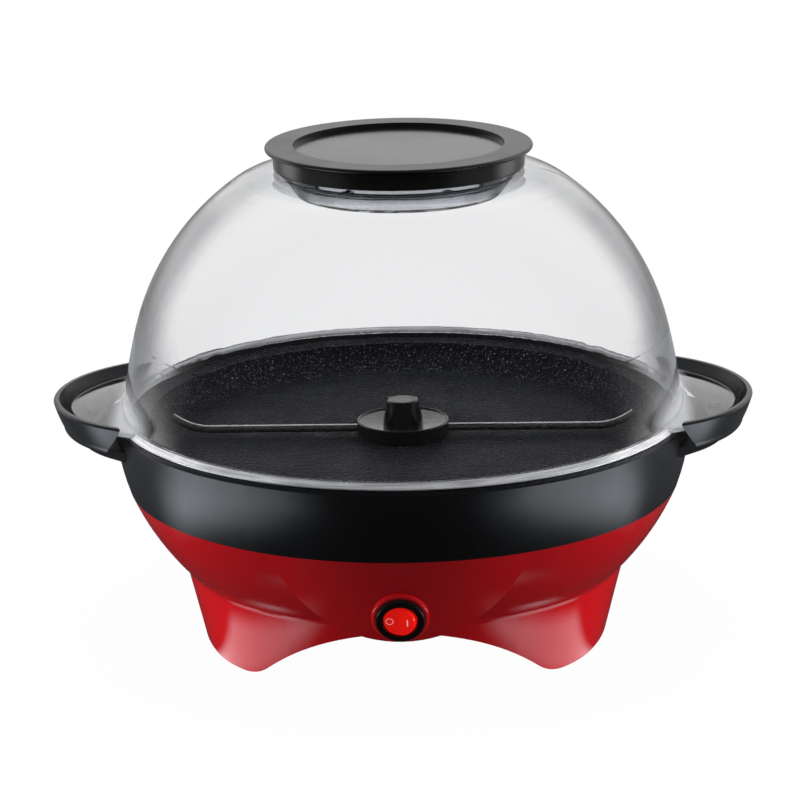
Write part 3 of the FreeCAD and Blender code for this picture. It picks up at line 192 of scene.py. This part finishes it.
def moulded_plastic(name, colour, tint, roughness, grain=0.0, specular=0.5, spread=0.04):
    """Moulded plastic: faint flow marks in its colour, uneven gloss, orange peel and, on some, a fine grain."""
    material, tree = new_material(name)
    flow = tree.spread(tree.noise(scale=9.0, detail=4.0), 0.0, 1.0)
    smudge = tree.noise(scale=38.0, detail=5.0, roughness=0.6)
    normal = tree.bump(tree.noise(scale=110.0, detail=1.0), strength=0.01, distance=0.0002)
    if grain:
        normal = tree.bump(tree.noise(scale=2600.0, detail=2.0), grain, 0.0001, normal)
    tree.finish(tree.principled(
        Base_Color=tree.blend(flow, colour, tint),
        Roughness=tree.spread(smudge, roughness - spread, roughness + spread),
        IOR=PLASTIC_IOR, Specular_IOR_Level=specular, Normal=normal,
    ))
    return material


def metal(name, colour, tint, roughness, lines=220.0, stretch=(1.0, 1.0, 14.0)):
    """Drawn or rolled metal: fine lines along one way, stained a little."""
    material, tree = new_material(name)
    drawn = tree.noise(lines, detail=4.0, roughness=0.6, vector=tree.stretched(stretch))
    stain = tree.spread(tree.noise(scale=55.0, detail=4.0), 0.0, 1.0)
    tree.finish(tree.principled(
        Base_Color=tree.blend(stain, colour, tint),
        Metallic=1.0, Roughness=tree.spread(drawn, roughness - 0.08, roughness + 0.1),
        Normal=tree.bump(drawn, strength=0.12, distance=0.0002),
    ))
    return material


def clear_plastic(name, tint, neck_tint, haze, streaks):
    """Clear moulded plastic with faint streaks and haze, painted milky pale at the roots of the wings as a highlight.

    It is greyer in its thick neck and where it is seen edge-on. Lamps shine through it.
    """
    material, tree = new_material(name)
    spot = tree.add("ShaderNodeSeparateXYZ", {0: tree.coordinates()}).outputs
    height, beside = spot["Z"], tree.math("ABSOLUTE", spot["X"])
    streak = tree.noise(scale=90.0, detail=4.0, roughness=0.6, vector=tree.stretched((0.2, 0.2, 5.0)))
    ripple = tree.bump(tree.noise(scale=24.0, detail=2.0), strength=0.008, distance=0.0004)
    facing = tree.add("ShaderNodeLayerWeight", {"Blend": 0.5}).outputs["Facing"]
    edge_on = tree.product(tree.ramp(facing, EDGE_ON_FACING, 0.0, 1.0), tree.ramp(height, EDGE_ON_TOP, 1.0, 0.0))
    body_tint = tree.blend(tree.ramp(height, NECK_SPAN, 0.0, 1.0), tint, neck_tint)
    glass = tree.principled(
        Base_Color=tree.blend(edge_on, body_tint, EDGE_ON_TINT),
        Transmission_Weight=1.0, IOR=CLEAR_IOR,
        Roughness=tree.spread(tree.noise(scale=60.0, detail=4.0), 0.0, haze),
        Normal=tree.bump(streak, streaks, 0.0005, ripple),
    )
    # Painted highlight: a pale milky colour laid over the wing roots
    root_highlight_milk = tree.principled(
        Base_Color=tree.blend(streak, (0.5, 0.51, 0.53), PALE_MILK_HIGHLIGHT), Roughness=0.3, IOR=MILK_HIGHLIGHT_IOR,
    )
    root = tree.product(
        tree.ramp(beside, ROOT_START, 0.0, ROOT_HIGHLIGHT_SHARE),
        tree.ramp(height, ROOT_TOP, 1.0, 0.0),
        tree.ramp(beside, ROOT_END, 1.0, 0.0),
    )
    clear = tree.add("ShaderNodeBsdfTransparent", {"Color": (0.97, 0.97, 0.97, 1.0)}).outputs[0]
    tree.finish(tree.mix_shaders(lamp_rays(tree), tree.mix_shaders(root, glass, root_highlight_milk), clear))
    return material


def frosted_highlight_plastic(name):
    """A thick moulded edge of clear plastic, milky with fine streaks around it, painted pale as a highlight band."""
    material, tree = new_material(name)
    around = tree.stretched((0.15, 0.15, 4.0))
    streak = tree.spread(tree.noise(scale=260.0, detail=4.0, roughness=0.6, vector=around), 0.0, 1.0)
    tree.finish(tree.principled(
        Base_Color=tree.blend(streak, (0.34, 0.35, 0.37), PALE_MILK_HIGHLIGHT), Transmission_Weight=0.45,
        Roughness=tree.spread(tree.noise(scale=90.0, detail=4.0), 0.12, 0.3), IOR=EDGE_IOR,
        Normal=tree.bump(streak, strength=0.1, distance=0.0003),
    ))
    return material


def cap_plastic(name):
    """Black cap with a polished disc and skirt, and a satin rim around the disc."""
    material, tree = new_material(name)
    spot = tree.add("ShaderNodeSeparateXYZ", {0: tree.coordinates()}).outputs
    satin = tree.ramp(spot["Z"], CAP_RIM_SPAN, 0.0, CAP_RIM_SATIN)
    gloss = tree.spread(tree.noise(scale=38.0, detail=5.0, roughness=0.6), 0.14, 0.2)
    flow = tree.spread(tree.noise(scale=9.0, detail=4.0), 0.0, 1.0)
    tree.finish(tree.principled(
        Base_Color=tree.blend(flow, (0.006, 0.006, 0.0065), (0.008, 0.008, 0.0085)),
        Roughness=tree.total(satin, gloss), IOR=PLASTIC_IOR,
        Normal=tree.bump(tree.noise(scale=420.0, detail=2.0), strength=0.05, distance=0.0002),
    ))
    return material


def coated_pan(name):
    """Dark non-stick coat over a finely embossed floor, with bright flecks painted in as glints."""
    material, tree = new_material(name)
    cells = tree.add("ShaderNodeTexVoronoi", {"Vector": tree.coordinates(), "Scale": 430.0, "Randomness": 0.6})
    emboss = tree.spread(cells.outputs["Distance"], 1.0, 0.0, start=0.1, end=0.6)
    # Painted glints: bright flecks laid into the base colour
    painted_glint_fleck = tree.spread(tree.noise(scale=1100.0, detail=2.0), 0.0, 1.0, start=0.62, end=0.74)
    wear = tree.spread(tree.noise(scale=30.0, detail=5.0), 0.34, 0.5)
    tree.finish(tree.principled(
        Base_Color=tree.blend(painted_glint_fleck, (0.006, 0.0066, 0.0085), (0.2, 0.21, 0.23)),
        Roughness=wear, IOR=PLASTIC_IOR, Specular_IOR_Level=0.035,
        Normal=tree.bump(emboss, strength=1.0, distance=0.0005),
    ))
    return material


def rocker_red(name):
    """Translucent red rocker with a painted glow from emission."""
    material, tree = new_material(name)
    depth = tree.spread(tree.noise(scale=160.0, detail=3.0), 0.0, 1.0)
    tree.finish(tree.principled(
        Base_Color=tree.blend(depth, (0.8, 0.008, 0.004), (0.7, 0.006, 0.003)),
        # Painted glow: emission that brightens the rocker beyond what the lamps give
        Emission_Color=(1.0, 0.008, 0.003, 1.0), Emission_Strength=0.45,
        Roughness=0.14, IOR=PLASTIC_IOR, Coat_Weight=0.6, Coat_Roughness=0.05,
        Subsurface_Weight=0.2, Subsurface_Radius=(0.004, 0.0006, 0.0004), Subsurface_Scale=1.0,
        Normal=tree.bump(tree.noise(scale=500.0, detail=2.0), strength=0.04, distance=0.0002),
    ))
    return material


def glow_painted_ink(name):
    """Pale ink, a little worn, with a painted glow from emission."""
    material, tree = new_material(name)
    worn = tree.spread(tree.noise(scale=900.0, detail=3.0), 0.0, 1.0)
    tree.finish(tree.principled(
        Base_Color=tree.blend(worn, (0.9, 0.78, 0.78), (0.8, 0.62, 0.62)),
        # Painted glow: emission that brightens the marks beyond what the lamps give
        Emission_Color=(1.0, 0.6, 0.6, 1.0), Emission_Strength=0.4,
        Roughness=tree.spread(worn, 0.35, 0.5), IOR=PLASTIC_IOR,
    ))
    return material


# The two colours of each plain plastic and metal
RED = ((0.58, 0.0075, 0.0125), (0.53, 0.0062, 0.0105))
DARK = ((0.0065, 0.0072, 0.0082), (0.0055, 0.006, 0.007))
BLACK = ((0.0055, 0.006, 0.0066), (0.007, 0.007, 0.0078))
DEEP_BLACK = ((0.003, 0.0033, 0.0038), (0.004, 0.0042, 0.0047))
NYLON = ((0.72, 0.70, 0.64), (0.66, 0.64, 0.58))
RUBBER = ((0.016, 0.016, 0.016), (0.024, 0.024, 0.024))
STEEL = ((0.58, 0.58, 0.59), (0.50, 0.50, 0.51))
HEATED_STEEL = ((0.24, 0.21, 0.19), (0.14, 0.13, 0.14))
ZINC = ((0.60, 0.61, 0.62), (0.46, 0.47, 0.49))
BRASS = ((0.66, 0.45, 0.16), (0.52, 0.34, 0.12))

# The two tints of the clear pieces, for their body and their neck
DOME_TINTS = ((0.96, 0.962, 0.968), (0.8, 0.81, 0.83))
CUP_TINTS = ((0.9, 0.91, 0.925), (0.8, 0.81, 0.83))

# Materials by the record's slots
SLOT_MATERIALS = {
    "red_plastic": moulded_plastic("red_gloss", *RED, roughness=0.14),
    "dark_plastic": moulded_plastic("dark_satin", *DARK, roughness=0.3),
    "black_plastic": moulded_plastic("black_satin", *BLACK, roughness=0.25, specular=0.4),
    "cap_plastic": cap_plastic("cap_gloss"),
    "white_plastic": moulded_plastic("white_nylon", *NYLON, roughness=0.45, grain=0.1),
    "rubber": moulded_plastic("rubber", *RUBBER, roughness=0.75, grain=0.4),
    "clear_plastic": clear_plastic("clear_dome", *DOME_TINTS, haze=0.03, streaks=0.004),
    "red_lens": rocker_red("rocker_red"),
    "coated_aluminium": coated_pan("coated_pan"),
    "steel": metal("steel", *STEEL, roughness=0.28),
    "element_steel": metal("heated_steel", *HEATED_STEEL, roughness=0.42),
    "zinc_sheet": metal("zinc_sheet", *ZINC, roughness=0.36, lines=90.0, stretch=(1.0, 1.0, 1.0)),
    "brass": metal("brass", *BRASS, roughness=0.3),
}
matte_black = moulded_plastic("matte_black", *BLACK, roughness=0.5, grain=0.06, specular=0.1)
gloss_black = moulded_plastic("gloss_black", *DEEP_BLACK, roughness=0.1, spread=0.03)

# Materials of the nodes that look different from the rest of their slot
NODE_MATERIALS = {
    "left_handle_bracket": matte_black,
    "right_handle_bracket": matte_black,
    "stirrer_hub": gloss_black,
    "hub_knob": gloss_black,
    "butter_cup": clear_plastic("clear_cup", *CUP_TINTS, haze=0.05, streaks=0.03),
}

for entry in frame["record"]["subparts"]:
    materials = nodes[entry["node"]].data.materials
    materials.clear()
    materials.append(NODE_MATERIALS.get(entry["node"], SLOT_MATERIALS[entry["material_slot"]]))


# Milky edge of the dome's foot, a painted highlight band, over the ring's lip, in front of and behind the wings

# Radius and height of each corner
EDGE_PROFILE = (
    (0.14290, 0.11510), (0.14380, 0.11505), (0.14470, 0.11510), (0.14502, 0.11535), (0.14500, 0.11580),
    (0.14460, 0.11620), (0.14400, 0.11665), (0.14350, 0.11720), (0.14315, 0.11790), (0.14300, 0.11835),
    (0.14290, 0.11840),
)
EDGE_HALF_SWEEP = math.radians(66.0)
EDGE_STEPS = 160


def foot_edge(name, middle):
    """A strip of the foot's edge, turned about the dome's axis to both sides of a middle angle."""
    count = len(EDGE_PROFILE)
    corners = []
    for step in range(EDGE_STEPS + 1):
        angle = middle + EDGE_HALF_SWEEP * (2 * step / EDGE_STEPS - 1)
        corners += [(radius * math.cos(angle), radius * math.sin(angle), height) for radius, height in EDGE_PROFILE]
    faces = [tuple(reversed(range(count))), tuple(range(EDGE_STEPS * count, (EDGE_STEPS + 1) * count))]
    for step in range(EDGE_STEPS):
        here, there = step * count, (step + 1) * count
        for index in range(count):
            after = (index + 1) % count
            faces.append((here + index, here + after, there + after, there + index))
    edge = new_piece(name, corners, faces, milky_highlight_edge)
    edge.data.polygons.foreach_set("use_smooth", [True] * len(edge.data.polygons))
    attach(edge, "dome")


milky_highlight_edge = frosted_highlight_plastic("milky_highlight_edge")
foot_edge("front_foot_edge", -math.pi / 2)
foot_edge("back_foot_edge", math.pi / 2)


# On and off marks, printed on the rocker

SWITCH_SEAT = Vector((0.0, -0.133041, 0.047494))
CONSOLE_TILT = math.radians(16.0)
ROCKER_TILT = math.radians(10.0)
PIVOT_DEPTH = 0.001
MARK_STROKE = 0.00024
MARK_PROUD = 0.00003
MARK_SUNK = 0.0002
MARK_STEPS = 48
RAY_HEIGHT = 0.0048


def rocker_frame():
    """From the level rocker's own frame, x to the right and z out of the console, to the object's frame."""
    seat = Matrix.Translation(SWITCH_SEAT) @ Matrix.Rotation(math.pi / 2 + CONSOLE_TILT, 4, "X")
    pivot = Matrix.Translation((0.0, 0.0, -PIVOT_DEPTH))
    return seat @ pivot @ Matrix.Rotation(-ROCKER_TILT, 4, "Y") @ pivot.inverted()


def stadium(centre, half_length, radius):
    """Points round a bar with round ends that stands along y, or round a circle if it has no length."""
    points = []
    for step in range(MARK_STEPS):
        angle = 2 * math.pi * (step + 0.5) / MARK_STEPS
        along = math.copysign(half_length, math.sin(angle))
        points.append((centre + radius * math.cos(angle), along + radius * math.sin(angle)))
    return points


def printed_mark(name, centre, half_length, radius):
    """A band of ink in the shape of a stadium's outline, laid on the rocker's own surface."""
    rocker = nodes["switch_rocker"].data
    surface = BVHTree.FromPolygons([v.co for v in rocker.vertices], [p.vertices for p in rocker.polygons])
    to_object = rocker_frame()
    inward = (to_object.to_3x3() @ Vector((0.0, 0.0, -1.0))).normalized()
    inner, outer = radius - MARK_STROKE / 2, radius + MARK_STROKE / 2
    rings = ((inner, -MARK_SUNK), (inner, MARK_PROUD), (outer, MARK_PROUD), (outer, -MARK_SUNK))
    corners, faces = [], []
    for ring, (ring_radius, lift) in enumerate(rings):
        here, there = ring * MARK_STEPS, (ring + 1) % len(rings) * MARK_STEPS
        for step, (x, y) in enumerate(stadium(centre, half_length, ring_radius)):
            spot = surface.ray_cast(to_object @ Vector((x, y, RAY_HEIGHT)), inward)[0]
            corners.append(spot - inward * lift)
            after = (step + 1) % MARK_STEPS
            faces.append((here + step, here + after, there + after, there + step))
    mark = new_piece(name, corners, faces, glowing_mark_ink)
    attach(mark, "rocker")


glowing_mark_ink = glow_painted_ink("glowing_mark_ink")
printed_mark("off_mark", centre=-0.0046, half_length=0.0, radius=0.0017)
printed_mark("on_mark", centre=0.0040, half_length=0.0016, radius=0.00013)


# Camera, as fitted to the photograph

CAMERA_PLACE = Vector((0.0, -1.5, 0.551862))
CAMERA_PITCH = 0.282242
CAMERA_ROLL = 0.016215
CAMERA_ORBIT = math.radians(1.2)
FOCAL_PIXELS = 3079.55
FRAME_PIXELS = 800.0
MIDDLE_PIXEL = 402.7
SENSOR = 36.0
FARTHEST = 50.0

camera = bpy.data.objects.new("camera", bpy.data.cameras.new("camera"))
scene.collection.objects.link(camera)
camera.data.sensor_width = SENSOR
camera.data.lens = FOCAL_PIXELS / FRAME_PIXELS * SENSOR
camera.data.shift_x = -(MIDDLE_PIXEL - FRAME_PIXELS / 2) / FRAME_PIXELS
camera.data.clip_end = FARTHEST
camera.matrix_world = (
    Matrix.Rotation(CAMERA_ORBIT, 4, "Z")
    @ Matrix.Translation(CAMERA_PLACE)
    @ Matrix.Rotation(math.pi / 2 - CAMERA_PITCH, 4, "X")
    @ Matrix.Rotation(-CAMERA_ROLL, 4, "Z")
)
scene.camera = camera


# Soft boxes, white surroundings and pale floor

LAMP_AIM = Vector((0.0, 0.0, 0.1))
WHITE = (1.0, 1.0, 1.0)

# Levels that reflections and fill light meet in the surroundings
ROOM_FRONT = 0.04
ROOM_BACK = 0.9
ROOM_LOW = 0.33
ROOM_SIDES = 1.7
ROOM_FILL = 0.03

# Parts of a direction's x, y and z over which the side boxes and the back wall come and go
BOX_SIDEWAYS = (0.62, 0.92)
BOX_ALONG = (0.1, 0.4)
BOX_FRONT_SHARE = 0.15
BOX_UP = (-0.27, -0.05)
WALL_ALONG = (0.0, 0.6)
WALL_UP = (-0.1, 0.15)

FLOOR_HALF_WIDTH = 0.5
FLOOR_ENDS = (-0.34, 0.7)
FLOOR_DROP = 0.0002

# Levels that reflections meet on the floor
FLOOR_NEAR = 2.0
FLOOR_FAR = 0.03
FLOOR_BACK = 0.33
FLOOR_SIDES = 3.2
FLOOR_COLOUR = (0.9, 0.945, 1.03)

# Glow close to the legs: length of the mirrored ray, place along y and beside the middle, and how far out it started
NEAR_LENGTH = (0.05, 0.08)
NEAR_ALONG = (-0.06, -0.045)
NEAR_BESIDE = (0.062, 0.09)
NEAR_REACH = (0.090, 0.098)
REACH_SHARE = 0.7

# Pools of light at the sides: place beside the middle and along y, and length of the mirrored ray
POOL_BESIDE = (0.13, 0.3)
POOL_ALONG = (-0.05, 0.01)
POOL_BACK_SHARE = 0.03
POOL_LENGTH = (0.11, 0.16)

# Where the floor grows paler behind the object, and where its shadow fades into the white
BACK_ALONG = (0.4, 0.6)
SHADOW_FADE = (0.13, 0.23)
SHADOW_WHITE = 0.98


def add_softbox(name, place, size, watts):
    """A lamp that lights the object, while the reflections come from the smooth world."""
    lamp = bpy.data.lights.new(name, "AREA")
    lamp.shape = "RECTANGLE"
    lamp.size, lamp.size_y = size
    lamp.energy = watts
    thing = bpy.data.objects.new(name, lamp)
    scene.collection.objects.link(thing)
    thing.location = place
    thing.rotation_euler = (LAMP_AIM - Vector(place)).to_track_quat("-Z", "Y").to_euler()
    thing.visible_glossy = False
    thing.visible_transmission = False


def make_world():
    """White behind the object. Reflections show a soft box at each side, a pale back wall and a dim room in front."""
    scene.world = bpy.data.worlds.new("studio")
    tree = Tree(scene.world)
    direction = tree.add("ShaderNodeSeparateXYZ", {0: tree.add("ShaderNodeTexCoord").outputs["Generated"]}).outputs
    sideways, along, up = tree.math("ABSOLUTE", direction["X"]), direction["Y"], direction["Z"]
    boxes = tree.product(
        tree.ramp(sideways, BOX_SIDEWAYS, 0.0, ROOM_SIDES),
        tree.ramp(along, BOX_ALONG, BOX_FRONT_SHARE, 1.0),
        tree.ramp(up, BOX_UP, 1.0, 0.0),
    )
    wall = tree.product(tree.ramp(along, WALL_ALONG, 0.0, ROOM_BACK), tree.ramp(up, WALL_UP, ROOM_LOW, 1.0))
    room = tree.total(boxes, wall, ROOM_FRONT)
    mirrored = mirrored_rays(tree)
    fill = tree.product(tree.math("SUBTRACT", 1.0, mirrored), ROOM_FILL)
    level = tree.total(tree.product(mirrored, room), fill)
    strength = tree.math("MAXIMUM", level, seen_rays(tree))
    shader = tree.add("ShaderNodeBackground", {"Color": (*WHITE, 1.0), "Strength": strength})
    tree.finish(shader.outputs[0], "ShaderNodeOutputWorld")


def pale_table():
    """Paper-like floor that keeps the object's shadow and fades into the white around it.

    Reflections meet levels of its own: a glow close to the legs, a pool at each side, and a dim floor elsewhere.
    """
    material, tree = new_material("pale_table")
    fibre = tree.spread(tree.noise(scale=300.0, detail=3.0), 0.0, 1.0)
    paper = tree.principled(Base_Color=tree.blend(fibre, (0.32, 0.32, 0.32), (0.3, 0.3, 0.3)), Roughness=0.6)
    place = tree.coordinates()
    far = tree.add("ShaderNodeVectorMath", {0: place}, operation="LENGTH").outputs["Value"]
    spot = tree.add("ShaderNodeSeparateXYZ", {0: place}).outputs
    beside, along = tree.math("ABSOLUTE", spot["X"]), spot["Y"]
    length = tree.add("ShaderNodeLightPath").outputs["Ray Length"]
    seen, mirrored = seen_rays(tree), mirrored_rays(tree)
    reach = tree.math("SUBTRACT", far, tree.product(length, REACH_SHARE))
    near = tree.product(
        tree.ramp(length, NEAR_LENGTH, FLOOR_NEAR, 0.0),
        tree.ramp(along, NEAR_ALONG, 1.0, 0.0),
        tree.ramp(reach, NEAR_REACH, 0.0, 1.0),
        tree.ramp(beside, NEAR_BESIDE, 0.0, 1.0),
    )
    pools = tree.product(
        tree.ramp(beside, POOL_BESIDE, 0.0, FLOOR_SIDES),
        tree.ramp(along, POOL_ALONG, 1.0, POOL_BACK_SHARE),
        tree.ramp(length, POOL_LENGTH, 0.0, 1.0),
    )
    level = tree.total(near, pools, tree.ramp(along, BACK_ALONG, FLOOR_FAR, FLOOR_BACK))
    strength = tree.total(seen, tree.product(mirrored, level))
    colour = tree.blend(seen, FLOOR_COLOUR, WHITE)
    glow = tree.add("ShaderNodeEmission", {"Color": colour, "Strength": strength}).outputs[0]
    share = tree.product(seen, tree.ramp(far, SHADOW_FADE, SHADOW_WHITE, 1.0))
    tree.finish(tree.mix_shaders(tree.math("MAXIMUM", share, mirrored), paper, glow))
    return material


def make_floor():
    """A small pale table under the object."""
    (front, back), side = FLOOR_ENDS, FLOOR_HALF_WIDTH
    corners = [(-side, front, 0), (side, front, 0), (side, back, 0), (-side, back, 0)]
    floor = new_piece("floor", corners, [(0, 1, 2, 3)], pale_table())
    floor.location.z = -FLOOR_DROP


add_softbox("softbox_left", place=(-1.35, -0.05, 0.72), size=(1.0, 1.1), watts=33.0)
add_softbox("softbox_right", place=(1.35, -0.05, 0.72), size=(1.0, 1.1), watts=33.0)
add_softbox("softbox_top", place=(0.0, 0.25, 1.6), size=(1.4, 1.2), watts=6.0)
make_world()
make_floor()
